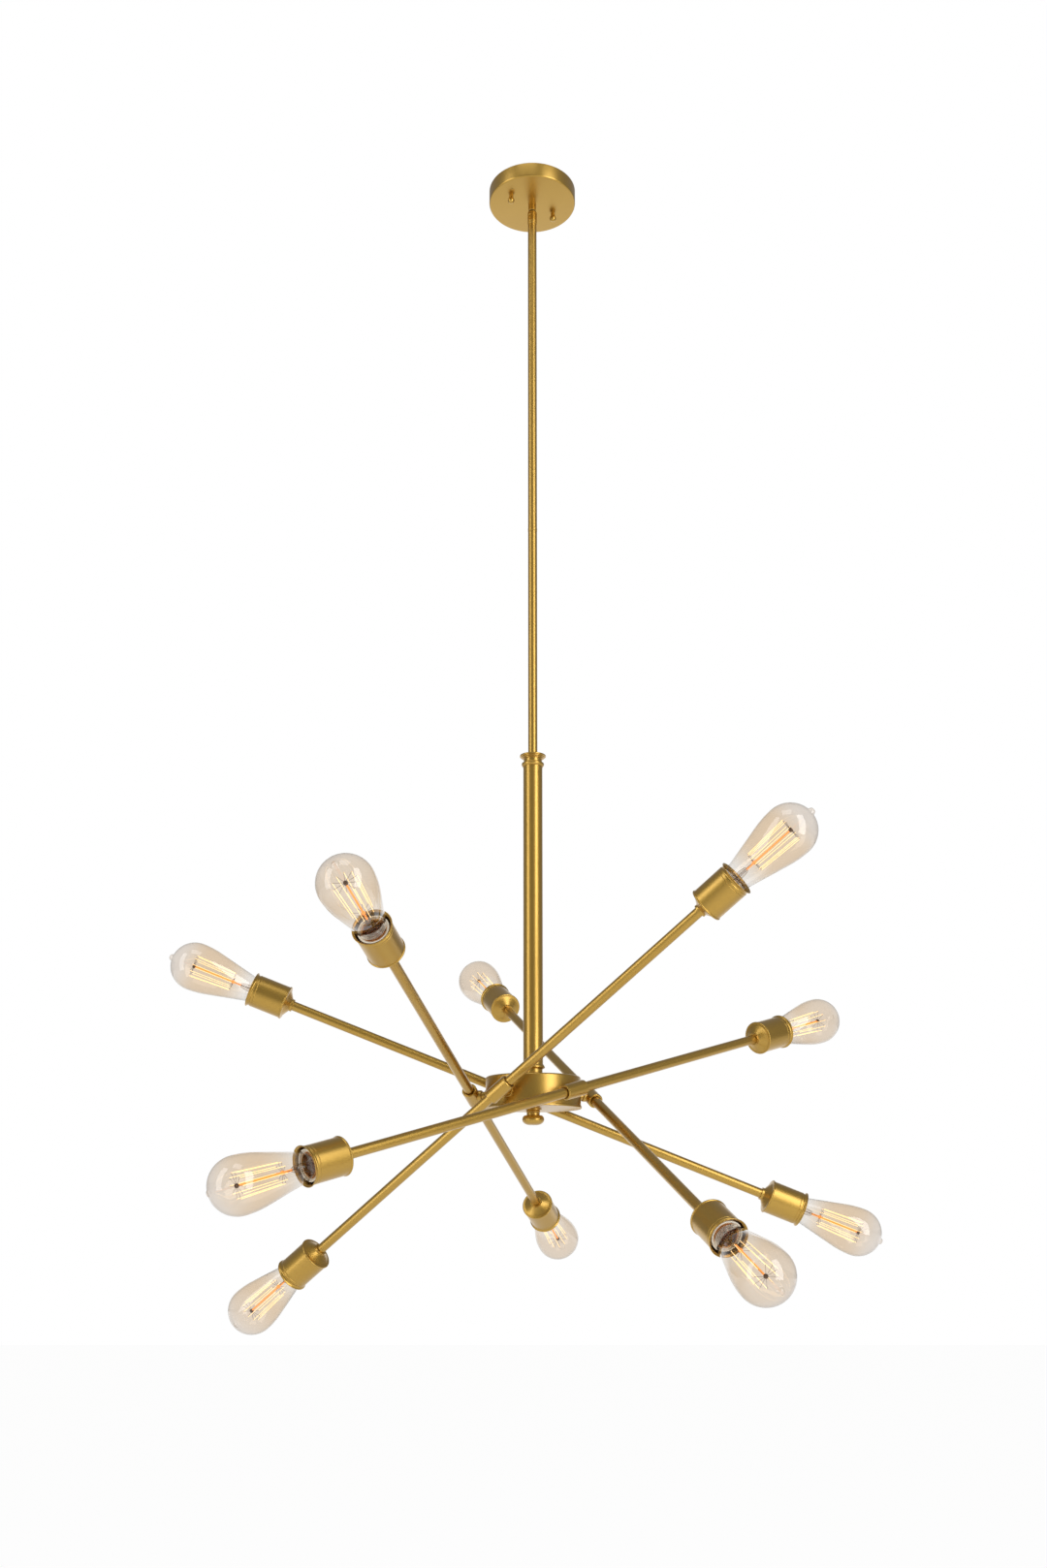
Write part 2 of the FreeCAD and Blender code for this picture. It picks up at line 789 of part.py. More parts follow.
def bulb_glass():
    """Blown glass envelope with the sealed nipple at its tip."""
    neck, rim, shoulder, tangent, belly, widest = glass_outline(0)
    inner = glass_outline(bulb_glass_wall)
    radius, ring_height = widest
    hollow = radius - bulb_glass_wall
    slope = math.sqrt(0.5)
    nib = bulb_nipple_diameter / 2
    root = nib + bulb_nipple_root
    joint = ring_height + math.sqrt(radius ** 2 - root ** 2)
    crown = ring_height + radius
    tip = crown + bulb_nipple_height
    shape = turned(
        neck, rim, shoulder, tangent, (belly, widest),
        ((radius * slope, ring_height + radius * slope), (root, joint)),
        (nib, crown + bulb_nipple_step), (nib - bulb_nipple_shoulder, tip - bulb_nipple_shoulder),
        (bulb_nipple_end_diameter / 2, tip), (0, tip), (0, ring_height + hollow),
        ((hollow * slope, ring_height + hollow * slope), inner[5]),
        (inner[4], inner[3]), inner[2], inner[1], inner[0])
    return lifted(shape, arm_reach + glass_base())


def filament():
    """Glass mount with its support rod and hub, and a cage of straight
    strands between two rings of hooks."""
    flare = glass_neck() - bulb_glass_wall - running_gap
    stem = mount_tube_diameter / 2
    bar = mount_rod_diameter / 2
    hub = mount_hub_diameter / 2
    press = mount_tube_length
    rod_end = press + mount_rod_length
    body = turned((0, 0), (flare, 0), (stem, mount_flare_length), (stem, press - bar),
                  (bar, press), (bar, rod_end - mount_hub_height),
                  (hub, rod_end - mount_hub_height), (hub, rod_end), (0, rod_end))
    half = cage_strand_width / 2
    lower = Vector(cage_lower_radius, 0, press + cage_start)
    upper = Vector(cage_upper_radius, 0, rod_end - mount_hub_height / 2)
    hooks = ((lower - Vector(lower.x, 0, cage_hook_drop), lower), (lower, upper),
             (Vector(0, 0, upper.z), upper))
    pieces = []
    for start, end in hooks:
        side = Vector(0, half, 0)
        across = (end - start).normalize().cross(Vector(0, 1, 0)) * half
        corners = [start + side + across, start + side - across,
                   start - side - across, start - side + across]
        face = Part.Face(Part.makePolygon(corners + corners[:1]))
        pieces.append(face.extrude(end - start + (end - start).normalize() * half))
    strands = []
    for index in range(cage_strands):
        turn = Placement(Vector(0, 0, 0), Rotation(up, 360 * index / cage_strands))
        strands += [moved(piece, turn) for piece in pieces]
    shape = body.multiFuse(strands)
    return lifted(shape, arm_reach + glass_base())


def export(node, shapes):
    """Write one node's solids to its file, and report them."""
    solids = [solid for shape in shapes for solid in shape.Solids]
    Part.makeCompound(solids).exportStep("parts/" + node + ".step")
    valid = all(solid.isValid() for solid in solids)
    print(node, len(solids), "solids", "valid" if valid else "NOT VALID")


def build():
    """Make every piece and write its file."""
    os.makedirs("parts", exist_ok=True)
    nodes = {
        "crossbar": [crossbar()], "canopy_studs": studs(), "stud_nuts": stud_nuts(),
        "ground_screw": [ground_screw()], "canopy_cup": [canopy()], "ball_nuts": ball_nuts(),
        "canopy_nipple": [canopy_nipple()], "canopy_locknut": [canopy_locknut()],
        "swivel_collar": [swivel_collar()], "swivel_ball": [swivel_ball()],
        "swivel_housing": [swivel_housing()], "pivot_screws": pivot_screws(),
        "stem_upper": [upper_stem()], "stem_coupler": [stem_coupler()],
        "stem_lower": [lower_stem()], "column_ends": [column_cap(), column_foot()],
        "column_tube": [column_tube()],
        "drum_can": [drum_can()], "drum_cover": [drum_cover()], "hub_nipple": [hub_nipple()],
        "hub_locknut": [hub_locknut()], "finial": [finial()], "neck_bushes": neck_bushes(),
    }
    barrel = arm_barrel()
    end_pieces = {"rods": arm_rod(), "cups": cup(), "holders": holder(), "bulb_caps": bulb_cap(),
                  "bulb_glass": bulb_glass(), "filaments": filament()}
    for name, azimuth, tilt in arms:
        nodes["arm_" + name + "_barrel"] = [moved(barrel, arm_place(azimuth, tilt, False))]
        for piece, shape in end_pieces.items():
            nodes["arm_" + name + "_" + piece] = on_ends(shape, azimuth, tilt)
    for node, shapes in nodes.items():
        export(node, shapes)
    print(len(nodes), "nodes, necks at height", arm_height)


build()
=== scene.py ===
import json
import math

import bpy
from mathutils import Matrix, Vector


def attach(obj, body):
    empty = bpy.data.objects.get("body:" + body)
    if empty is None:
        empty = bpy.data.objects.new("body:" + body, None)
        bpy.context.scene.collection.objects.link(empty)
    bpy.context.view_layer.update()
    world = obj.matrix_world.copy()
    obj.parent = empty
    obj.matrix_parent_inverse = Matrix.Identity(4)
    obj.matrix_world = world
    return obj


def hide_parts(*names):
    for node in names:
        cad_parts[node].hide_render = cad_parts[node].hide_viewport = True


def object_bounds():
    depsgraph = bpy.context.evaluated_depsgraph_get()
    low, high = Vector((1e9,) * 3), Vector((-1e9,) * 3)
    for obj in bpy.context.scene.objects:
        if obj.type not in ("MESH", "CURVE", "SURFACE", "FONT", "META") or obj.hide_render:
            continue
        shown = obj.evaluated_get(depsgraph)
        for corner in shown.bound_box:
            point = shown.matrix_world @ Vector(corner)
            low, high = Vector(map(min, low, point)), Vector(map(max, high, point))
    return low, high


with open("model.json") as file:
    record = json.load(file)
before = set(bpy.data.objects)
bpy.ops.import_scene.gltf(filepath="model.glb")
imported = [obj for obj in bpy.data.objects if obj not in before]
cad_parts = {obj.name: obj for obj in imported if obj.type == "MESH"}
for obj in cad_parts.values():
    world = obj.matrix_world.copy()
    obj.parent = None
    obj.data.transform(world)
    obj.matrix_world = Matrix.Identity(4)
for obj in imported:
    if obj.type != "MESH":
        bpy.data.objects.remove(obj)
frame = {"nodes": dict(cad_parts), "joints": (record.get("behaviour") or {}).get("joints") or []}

cad_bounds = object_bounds()
nodes = frame["nodes"]

# Crossbar and its hardware: a stamped steel bar, two threaded studs, lock
# nuts and a hollow nipple, all zinc plated. The earth screw's head is
# lacquered green. They sit above the canopy and show only from above.


class Value:
    """A number in a material, on a socket, with arithmetic that adds nodes."""

    def __init__(self, finish, socket):
        self.finish = finish
        self.socket = socket

    def maths(self, operation, first, second):
        return self.finish.add("Math", {"operation": operation}, {0: first, 1: second})

    def __add__(self, other):
        return self.maths("ADD", self, other)

    def __mul__(self, other):
        return self.maths("MULTIPLY", self, other)

    def __pow__(self, other):
        return self.maths("POWER", self, other)

    __radd__ = __add__
    __rmul__ = __mul__


class Finish:
    """The nodes of a material or of the studio's world, round one shader."""

    def __init__(self, owner, shader="Principled BSDF", **constants):
        owner.use_nodes = True
        self.owner = owner
        self.tree = owner.node_tree
        self.shader = self.tree.nodes[shader]
        for socket, constant in constants.items():
            self.shader.inputs[socket.replace("_", " ")].default_value = constant

    def add(self, kind, settings=None, sockets=None, output=0):
        """Add a node: its settings first, then its sockets' values or links."""
        node = self.tree.nodes.new("ShaderNode" + kind)
        for setting, choice in (settings or {}).items():
            setattr(node, setting, choice)
        for socket, content in (sockets or {}).items():
            if isinstance(content, Value):
                self.tree.links.new(content.socket, node.inputs[socket])
            else:
                node.inputs[socket].default_value = content
        return Value(self, node.outputs[output])

    def noise(self, scale, detail=2.0, roughness=0.5):
        """Noise on the object's own coordinates, in metres."""
        place = self.add("TexCoord", output=3)
        return self.add("TexNoise", None, {"Vector": place, "Scale": scale, "Detail": detail,
                                           "Roughness": roughness})

    def blend(self, factor, first, second):
        """Colour between two colours, by a factor from 0 to 1."""
        return self.add("Mix", {"data_type": "RGBA"},
                        {0: factor, 6: (*first, 1), 7: (*second, 1)}, output=2)

    def step(self, value, low, high):
        """Smooth step from 0 to 1 as a value goes from low to high."""
        return self.add("MapRange", {"interpolation_type": "SMOOTHSTEP"},
                        {"Value": value, "From Min": low, "From Max": high})

    def bump(self, height, strength, distance):
        return self.add("Bump", None, {"Height": height, "Strength": strength,
                                       "Distance": distance})

    def feed(self, **links):
        """Link values to the shader's sockets."""
        for socket, value in links.items():
            self.tree.links.new(value.socket, self.shader.inputs[socket.replace("_", " ")])
        return self.owner

    def show(self, surface):
        """Show a shader of its own in place of the first one."""
        outlet = next(node for node in self.tree.nodes if node.type.startswith("OUTPUT"))
        self.tree.links.new(surface.socket, outlet.inputs["Surface"])
        self.tree.nodes.remove(self.shader)
        return self.owner


def zinc_plate():
    """Bluish zinc plating with faint spangle and dull patches."""
    zinc = Finish(bpy.data.materials.new("zinc_plate"), Metallic=1.0)
    spangle = zinc.noise(420.0, 1.0)
    dulling = zinc.noise(60.0, 3.0)
    colour = zinc.blend(spangle, (0.50, 0.51, 0.52), (0.66, 0.66, 0.64))
    return zinc.feed(Base_Color=colour, Roughness=dulling * 0.3 + 0.22,
                     Normal=zinc.bump(spangle, 0.15, 0.0002))


def earth_green():
    """Green lacquer on the earth screw's head."""
    green = Finish(bpy.data.materials.new("earth_green"), Metallic=0.6)
    wear = green.noise(900.0, 2.0)
    colour = green.blend(wear, (0.04, 0.26, 0.09), (0.10, 0.36, 0.14))
    return green.feed(Base_Color=colour, Roughness=wear * 0.2 + 0.3)


zinc = zinc_plate()
for node in ("crossbar", "canopy_studs", "stud_nuts", "canopy_nipple", "canopy_locknut"):
    nodes[node].material_slots[0].material = zinc
nodes["ground_screw"].material_slots[0].material = earth_green()

# Canopy and ball nuts: a shallow cup, spun from brass sheet and finished in
# satin lacquer, held up against the ceiling by two turned ball nuts that
# screw on the studs.

mm = 0.001
canopy_radius = 60.0
canopy_depth = 20.0
canopy_wall = 1.2
canopy_edge = 2.0
canopy_hole = 4.25
ball_nut_radius = 4.55
ball_nut_centre = -26.95
ball_nut_neck = 2.9
stud_circle_radius = 35.0
stud_azimuths = (33.0, 213.0)


def arc(centre, radius, start, end, steps):
    """Points on an arc of a turned outline, angles in degrees from outward."""
    angles = [math.radians(start + (end - start) * i / steps) for i in range(steps + 1)]
    return [(centre[0] + radius * math.cos(a), centre[1] + radius * math.sin(a)) for a in angles]


def turn_on_lathe(name, outline, segments=72, bored=False):
    """Turned piece along Z, drawn out from station to station of its outline.
    A bored piece starts from a ring, and its last station meets the first."""
    bpy.ops.object.select_all(action="DESELECT")
    radius, height = outline[0]
    bpy.ops.mesh.primitive_circle_add(vertices=segments, radius=radius * mm,
                                      fill_type="NOTHING" if bored else "NGON",
                                      location=(0, 0, height * mm))
    piece = bpy.context.object
    piece.name = name
    bpy.ops.object.transform_apply(location=True, rotation=False, scale=False)
    bpy.ops.object.mode_set(mode="EDIT")
    bpy.ops.mesh.select_all(action="SELECT")
    stations = outline + outline[:1] if bored else outline
    for (last_radius, last_height), (radius, height) in zip(stations, stations[1:]):
        rise = (0, 0, (height - last_height) * mm)
        bpy.ops.mesh.extrude_region_move(TRANSFORM_OT_translate={"value": rise})
        scale = radius / last_radius
        bpy.ops.transform.resize(value=(scale, scale, 1), center_override=(0, 0, height * mm))
    bpy.ops.mesh.select_all(action="SELECT")
    bpy.ops.mesh.remove_doubles(threshold=0.01 * mm)
    bpy.ops.mesh.normals_make_consistent(inside=False)
    bpy.ops.object.mode_set(mode="OBJECT")
    bpy.ops.object.shade_smooth_by_angle(angle=math.radians(35))
    return piece


def soften(piece, width, segments=2):
    """Round a piece's sharp edges."""
    bpy.ops.object.select_all(action="DESELECT")
    piece.select_set(True)
    bpy.context.view_layer.objects.active = piece
    bevel = piece.modifiers.new("edges", "BEVEL")
    bevel.width = width * mm
    bevel.segments = segments
    bevel.limit_method = "ANGLE"
    bevel.angle_limit = math.radians(35)
    bpy.ops.object.modifier_apply(modifier=bevel.name)
    bpy.ops.object.shade_smooth_by_angle(angle=math.radians(50))


def fit(piece, body, slot, material, *parts):
    """Give a piece its finish, the body it rides on and the CAD nodes that it
    stands for."""
    piece.data.materials.clear()
    piece.data.materials.append(material)
    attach(piece, body)
    if parts:
        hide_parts(*parts)


def copy_of(piece, name, place):
    """Copy of a piece, with its own mesh carried to its place."""
    copy = piece.copy()
    copy.data = piece.data.copy()
    copy.name = name
    bpy.context.scene.collection.objects.link(copy)
    copy.data.transform(place)
    return copy


def satin_brass():
    """Satin lacquered brass: slow clouds of tone, a fine grain and faint
    smears in the lacquer."""
    brass = Finish(bpy.data.materials.new("satin_brass"), Metallic=1.0, Coat_IOR=1.7,
                   Coat_Weight=0.7, Coat_Roughness=0.28)
    clouds = brass.noise(12.0, 2.0)
    grain = brass.noise(900.0, 2.0, 0.5)
    smears = brass.noise(60.0, 3.0, 0.5)
    colour = brass.blend(clouds, (0.515, 0.302, 0.031), (0.565, 0.338, 0.044))
    return brass.feed(Base_Color=colour, Roughness=smears * 0.05 + 0.32,
                      Normal=brass.bump(grain, 0.02, 0.0001))


brass = satin_brass()
canopy_corner = (canopy_radius - canopy_edge, canopy_edge - canopy_depth)
canopy = turn_on_lathe("canopy", [(canopy_hole, -canopy_depth)]
                       + arc(canopy_corner, canopy_edge, -90, 0, 6)
                       + [(canopy_radius, 0), (canopy_radius - canopy_wall, 0),
                          (canopy_radius - canopy_wall, canopy_wall - canopy_depth),
                          (canopy_hole, canopy_wall - canopy_depth)], 128, bored=True)
soften(canopy, 0.3)
fit(canopy, "canopy", "satin_brass", brass, "canopy_cup")

ball_nut_top = math.degrees(math.acos(ball_nut_neck / ball_nut_radius))
ball_nut = turn_on_lathe("ball_nut", [(ball_nut_neck, -canopy_depth)]
                         + arc((0, ball_nut_centre), ball_nut_radius, ball_nut_top, -84, 14), 48)
for azimuth in stud_azimuths:
    angle = math.radians(azimuth)
    spot = Vector((math.cos(angle), math.sin(angle), 0)) * stud_circle_radius * mm
    nut = copy_of(ball_nut, "ball_nut_%d" % azimuth, Matrix.Translation(spot))
    fit(nut, "canopy", "satin_brass", brass, "ball_nuts")
bpy.data.objects.remove(ball_nut)

# Swivel: a turned collar on the nipple, a bored ball that turns in it, and a
# round housing over the ball, which tilts on two short screws. All are
# turned from brass bar.

collar_bore = 2.55
collar_radius = 5.5
collar_edge = 0.4
collar_end = -30.5
collar = turn_on_lathe("collar", [
    (collar_bore, collar_end), (collar_radius - collar_edge, collar_end),
    (collar_radius, collar_end + collar_edge), (collar_radius, -canopy_depth),
    (collar_bore, -canopy_depth)], 48, bored=True)
fit(collar, "canopy", "satin_brass", brass, "swivel_collar")

ball_centre = -36.9
shell_radius = 4.65
housing_bore = 2.3
housing_radius = 6.55
housing_top = -32.0
housing_taper = 1.3
housing_mouth = 4.1
foot_ring_top = -48.0
foot_groove = 0.5
stem_top = -51.0
housing = turn_on_lathe("housing", [
    (housing_bore, stem_top), (housing_radius - foot_groove, stem_top),
    (housing_radius, stem_top + foot_groove), (housing_radius, foot_ring_top - foot_groove),
    (housing_radius - foot_groove, foot_ring_top), (housing_radius, foot_ring_top + foot_groove),
    (housing_radius, housing_top - housing_taper), (housing_radius - housing_taper, housing_top),
    (housing_mouth, housing_top)] + arc((0, ball_centre), shell_radius, 28, -60, 10), 64,
    bored=True)
soften(housing, 0.12)
fit(housing, "stem", "satin_brass", brass, "swivel_housing")
for node in ("swivel_ball", "pivot_screws"):
    nodes[node].material_slots[0].material = brass

# Stem: two drawn brass tubes, screwed together at a thin turned coupler.

tube_radius = 6.0
tube_bore = 5.0
coupler_top = -506.0
coupler_low = -510.5
coupler_rim = 0.2
coupler_bore = 3.5
stem_low = -836.5


def drawn_tube(name, bore, radius, low, high, segments=64):
    """Drawn tube along Z, its cut ends eased."""
    piece = turn_on_lathe(name, [(bore, low), (radius, low), (radius, high), (bore, high)],
                          segments, bored=True)
    soften(piece, 0.15)
    return piece


fit(drawn_tube("stem_upper_tube", tube_bore, tube_radius, coupler_top, stem_top),
    "stem", "satin_brass", brass, "stem_upper")
fit(drawn_tube("stem_lower_tube", tube_bore, tube_radius, stem_low, coupler_low),
    "stem", "satin_brass", brass, "stem_lower")
coupler_outside = tube_radius + coupler_rim
coupler = turn_on_lathe("coupler", [
    (coupler_bore, coupler_low), (tube_radius, coupler_low),
    (coupler_outside, coupler_low + coupler_rim), (coupler_outside, coupler_top - coupler_rim),
    (tube_radius, coupler_top), (coupler_bore, coupler_top)], 64, bored=True)
fit(coupler, "stem", "satin_brass", brass, "stem_coupler")

# Column: a thick drawn tube between two turned end pieces. They are the same
# turning, flange outwards: a stepped flange, a waist and a rounded ring that
# laps over the tube.

column_top = -824.5
drum_top = -1246.7
column_tube_low = -1236.1
column_tube_high = -835.1
column_bore = 11.3
column_radius = 12.5
end_stem_hole = 6.05
end_flange = 17.0
end_groove = 0.5
end_upper_step = 15.27
end_lower_step = 13.53
end_waist = 11.8
end_seat = 12.55
end_seat_depth = -10.6
end_height = -15.6
end_ring_centre = (11.89, -12.4)
end_ring_curve = 2.81
end_ring_reach = 34.7

fit(drawn_tube("column_barrel", column_bore, column_radius, column_tube_low, column_tube_high, 96),
    "stem", "satin_brass", brass, "column_tube")

column_end = turn_on_lathe("column_end", [
    (end_stem_hole, 0.0), (end_flange - end_groove, 0.0), (end_flange, -end_groove),
    (end_flange, -2.0), (end_upper_step, -2.5), (end_upper_step, -3.5), (end_lower_step, -4.0),
    (end_lower_step, -5.0), (end_waist, -5.5), (end_waist, -9.8), (12.6, -10.1),
    (12.9, end_seat_depth), (14.2, -10.8)]
    + arc(end_ring_centre, end_ring_curve, end_ring_reach, -end_ring_reach, 8)[1:]
    + [(13.35, end_height), (end_seat, end_height), (end_seat, end_seat_depth),
       (end_stem_hole, end_seat_depth)], 96, bored=True)
soften(column_end, 0.15)
flipped = Matrix.Translation((0, 0, drum_top * mm)) @ Matrix.Rotation(math.pi, 4, "X")
for name, place in (("column_cap", Matrix.Translation((0, 0, column_top * mm))),
                    ("column_foot", flipped)):
    fit(copy_of(column_end, name, place), "stem", "satin_brass", brass, "column_ends")
bpy.data.objects.remove(column_end)

# Drum hub: a spun can, closed below by a spun cover whose lip laps over it.
# A hollow nipple with a turned mushroom finial holds both, and a flanged
# bush is pressed in the wall for each arm's neck.

drum_radius = 60.0
drum_wall = 1.5
drum_edge = 2.5
drum_hole = 5.05
can_low = -1285.5
cover_low = -1286.7
cover_radius = 61.05
cover_gap = 0.05
cover_edge = 0.5
cover_lip_top = -1283.5
bush_hole = 6.05
drill_overrun = 2.0
arm_joints = [joint for joint in frame["joints"] if joint["name"].startswith("arm_")]
arm_height = arm_joints[0]["pos_m"][2] / mm


def bow(first, middle, last, steps):
    """Points on the arc of a turned outline through three points."""
    (ax, az), (bx, bz), (cx, cz) = first, middle, last
    twice = 2 * (ax * (bz - cz) + bx * (cz - az) + cx * (az - bz))
    sizes = (ax * ax + az * az, bx * bx + bz * bz, cx * cx + cz * cz)
    x = (sizes[0] * (bz - cz) + sizes[1] * (cz - az) + sizes[2] * (az - bz)) / twice
    z = (sizes[0] * (cx - bx) + sizes[1] * (ax - cx) + sizes[2] * (bx - ax)) / twice
    start, end = (math.degrees(math.atan2(point[1] - z, point[0] - x)) for point in (first, last))
    return arc((x, z), math.hypot(ax - x, az - z), start, end, steps)


def outward_from_drum(joint):
    """Matrix that lays a piece, made along Z, along an arm's neck."""
    azimuth = math.atan2(joint["pos_m"][1], joint["pos_m"][0])
    return (Matrix.Translation((0, 0, arm_height * mm)) @ Matrix.Rotation(azimuth, 4, "Z")
            @ Matrix.Rotation(math.pi / 2, 4, "Y"))


can_inside = drum_radius - drum_wall
can = turn_on_lathe("can", [
    (drum_hole, drum_top - drum_wall), (can_inside, drum_top - drum_wall), (can_inside, can_low),
    (drum_radius, can_low)]
    + arc((drum_radius - drum_edge, drum_top - drum_edge), drum_edge, 0, 90, 7)
    + [(drum_hole, drum_top)], 160, bored=True)
for joint in arm_joints:
    drill = turn_on_lathe("drill", [(bush_hole, can_inside - drill_overrun),
                                    (bush_hole, drum_radius + drill_overrun)], 40)
    drill.data.transform(outward_from_drum(joint))
    bpy.ops.object.select_all(action="DESELECT")
    can.select_set(True)
    bpy.context.view_layer.objects.active = can
    drilling = can.modifiers.new("bush_hole", "BOOLEAN")
    drilling.operation = "DIFFERENCE"
    drilling.solver = "EXACT"
    drilling.object = drill
    bpy.ops.object.modifier_apply(modifier=drilling.name)
    bpy.data.objects.remove(drill)
bpy.ops.object.shade_smooth_by_angle(angle=math.radians(35))
fit(can, "stem", "satin_brass", brass, "drum_can")

cover_inside = drum_radius + cover_gap
cover = turn_on_lathe("cover", [
    (drum_hole, cover_low), (cover_radius - cover_edge, cover_low),
    (cover_radius, cover_low + cover_edge), (cover_radius, cover_lip_top - cover_edge),
    (cover_radius - cover_edge, cover_lip_top), (cover_inside, cover_lip_top),
    (cover_inside, can_low), (drum_hole, can_low)], 160, bored=True)
soften(cover, 0.2)
fit(cover, "stem", "satin_brass", brass, "drum_cover")
for node in ("hub_nipple", "hub_locknut"):
    nodes[node].material_slots[0].material = zinc

finial_flange = 10.7
finial_waist = 8.2
finial_ring = 9.2
finial_shoulder = (10.95, cover_low - 8.5)
finial_ball = (13.7, cover_low - 12.2)
finial_belly = (11.65, cover_low - 17.9)
finial_foot = (6.0, cover_low - 20.2)
finial_end = cover_low - 20.3
finial = turn_on_lathe("finial_turning", [
    (finial_flange, cover_low), (finial_flange, cover_low - 1.4), (finial_waist, cover_low - 2.3),
    (finial_ring, cover_low - 3.4), (finial_ring, cover_low - 4.1), (finial_waist, cover_low - 4.9),
    (finial_waist, finial_shoulder[1])]
    + bow(finial_shoulder, finial_ball, finial_belly, 12)
    + bow(finial_belly, (9.0, cover_low - 19.5), finial_foot, 4)[1:] + [(1.0, finial_end)], 96)
soften(finial, 0.2)
fit(finial, "stem", "satin_brass", brass, "finial")

bush_bore = 5.05
bush_radius = 6.0
bush_flange = 7.1
bush_edge = 0.4
bush_start = 57.5
bush_shoulder = 59.4
bush_end = 62.6
bush = turn_on_lathe("bush", [
    (bush_bore, bush_start), (bush_radius, bush_start), (bush_radius, bush_shoulder),
    (bush_flange, bush_shoulder), (bush_flange, bush_end - bush_edge),
    (bush_flange - bush_edge, bush_end), (bush_bore, bush_end)], 48, bored=True)
for joint in arm_joints:
    fit(copy_of(bush, joint["child"] + "_bush", outward_from_drum(joint)),
        "stem", "satin_brass", brass, "neck_bushes")
bpy.data.objects.remove(bush)

# Arms: a turned barrel, recessed at both ends, with a hollow neck through the
# bush and a drawn tube screwed in each end. The places of all the pieces
# follow from each arm's hinge.

lowest_tilt = 8.0
arm_reach = 340.0
rod_radius = 6.2
rod_bore = 5.2
rod_start = 4.0
rod_end = 334.4
barrel_radius = 9.5
barrel_half = 16.0
barrel_edge = 0.8
barrel_recess = 7.2
barrel_floor = 13.5
barrel_bore = 6.25
neck_bore = 3.0
neck_radius = 5.0
neck_ring = 6.9
neck_flare = 6.5
neck_start = 7.0
neck_end = 23.7


def arm_places(joint):
    """Matrices that carry a piece, made along Z from the neck's axis, to the
    two ends of an arm."""
    outward = Vector(joint["axis"])
    tilt = math.radians(lowest_tilt - joint["range_deg"][0])
    along = Vector((-outward.y, outward.x, 0)) * math.cos(tilt) + Vector((0, 0, math.sin(tilt)))
    places = []
    for direction in (along, -along):
        turn = Matrix((outward, direction.cross(outward), direction)).transposed().to_4x4()
        places.append(Matrix.Translation(joint["pos_m"]) @ turn)
    return places


def fit_to_arms(piece, part, slot, material, node, ends=("high", "low"), start=arm_reach):
    """Copy a piece to every arm end, at its start along the arm. It rides on
    its arm and stands for the arm's CAD node."""
    for joint in arm_joints:
        body = joint["child"]
        for end, place in zip(ends, arm_places(joint)):
            copy = copy_of(piece, "_".join(filter(None, (body, part, end))),
                           place @ Matrix.Translation((0, 0, start * mm)))
            fit(copy, body, slot, material, body + "_" + node)
    bpy.data.objects.remove(piece)


barrel = turn_on_lathe("barrel", [
    (rod_bore, -rod_start), (barrel_bore, -rod_start), (barrel_bore, -barrel_floor),
    (barrel_recess, -barrel_floor), (barrel_recess, -barrel_half),
    (barrel_radius - barrel_edge, -barrel_half), (barrel_radius, barrel_edge - barrel_half),
    (barrel_radius, barrel_half - barrel_edge), (barrel_radius - barrel_edge, barrel_half),
    (barrel_recess, barrel_half), (barrel_recess, barrel_floor), (barrel_bore, barrel_floor),
    (barrel_bore, rod_start), (rod_bore, rod_start)], 72, bored=True)
soften(barrel, 0.15)
fit_to_arms(barrel, "barrel_turning", "satin_brass", brass, "barrel", ends=("",), start=0)

neck = turn_on_lathe("neck", [
    (neck_bore, neck_start), (neck_radius, neck_start), (neck_ring, 7.5), (neck_ring, 11.7),
    (neck_flare, 12.6), (neck_radius, 12.9), (neck_radius, 22.7), (neck_flare, 22.7),
    (neck_flare, neck_end), (neck_bore, neck_end)], 56, bored=True)
soften(neck, 0.12)
neck.data.transform(Matrix.Rotation(-math.pi / 2, 4, "Y"))
fit_to_arms(neck, "neck", "satin_brass", brass, "barrel", ends=("",), start=0)

fit_to_arms(drawn_tube("rod", rod_bore, rod_radius, rod_start, rod_end), "rod", "satin_brass",
            brass, "rods", start=0)

# Socket cups: spun brass, with a rolled bead at the base and, at the mouth, a
# groove, a band, a hollow and a thin rolled lip. A cone and a hub are silver
# soldered on behind, where the tube ends.

cup_radius = 21.3
cup_wall = 0.9
cup_bead = 1.2
cup_groove = 0.3
cup_cove = 0.7
cup_hub_radius = 8.2
cup_hub_end = -9.5
cup_cone_end = -6.5
cup_cone_radius = 17.5
cup_lip_centre = (22.4, 47.8)
cup_lip_curve = 0.52
cup_inside = cup_radius - cup_wall
cup = turn_on_lathe("cup", [
    (barrel_bore, cup_hub_end), (cup_hub_radius, cup_hub_end), (cup_hub_radius, cup_cone_end),
    (cup_cone_radius, -0.6), (19.6, 0.0)] + arc((21.05, cup_bead), cup_bead, -90, 78, 8)
    + [(cup_radius, 2.6), (cup_radius, 39.6), (cup_radius - cup_groove, 39.9),
       (cup_radius - cup_groove, 40.15), (cup_radius, 40.45), (cup_radius, 43.1),
       (cup_radius - cup_cove / 2, 43.5), (cup_radius - cup_cove, 44.3), (cup_radius - 0.6, 45.2),
       (cup_radius - 0.1, 46.1), (cup_radius + 0.8, 47.0)]
    + arc(cup_lip_centre, cup_lip_curve, -50, 170, 8)
    + [(cup_radius - 0.1, 47.4), (cup_inside, 46.4), (cup_inside, cup_wall),
       (cup_cone_radius - cup_wall, cup_wall), (barrel_bore, cup_cone_end + cup_wall)],
    96, bored=True)
soften(cup, 0.1)
fit_to_arms(cup, "cup", "satin_brass", brass, "cups")

# Lampholders: moulded ivory cylinders in the cups, with a thin rim round the
# rolled copper-brass screw shell.

